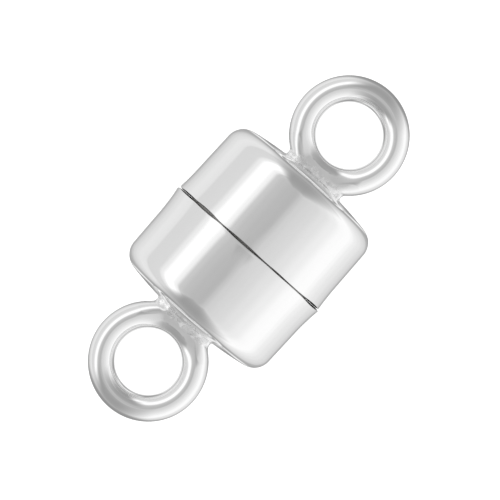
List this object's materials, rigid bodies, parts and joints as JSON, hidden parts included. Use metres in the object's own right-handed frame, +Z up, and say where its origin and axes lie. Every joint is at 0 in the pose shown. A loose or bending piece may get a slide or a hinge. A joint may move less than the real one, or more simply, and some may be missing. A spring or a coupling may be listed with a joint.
{
  "type": "magnetic clasp",
  "caption": "Round two-part magnetic clasp for a necklace or bracelet: silver cups with soldered end rings meet at a seam over disc magnets, pull apart and swivel.",
  "frame": {"origin": "on the surface that the clasp lies on, under the middle of its length", "axes": "+X along the clasp's axis from the socket half to the plug half, +Z up from the surface, both rings lying in the X-Y plane"},
  "size_m": [0.014, 0.0062, 0.0062],
  "materials": {
    "silver": "polished",
    "magnet_nickel": "satin"
  },
  "bodies": {
    "socket_half": {"socket_cup": "silver", "socket_magnet": "magnet_nickel"},
    "plug_magnet": {"plug_magnet": "magnet_nickel"},
    "plug_half": {"plug_cup": "silver"}
  },
  "joints": [
    {"name": "pull_off", "type": "slide", "parent": "socket_half", "child": "plug_magnet", "axis": [1, 0, 0], "range_m": [0, 0.01]},
    {"name": "swivel", "type": "hinge", "parent": "plug_magnet", "child": "plug_half", "pos_m": [0, 0, 0.00309], "axis": [1, 0, 0], "continuous": true}
  ]
}
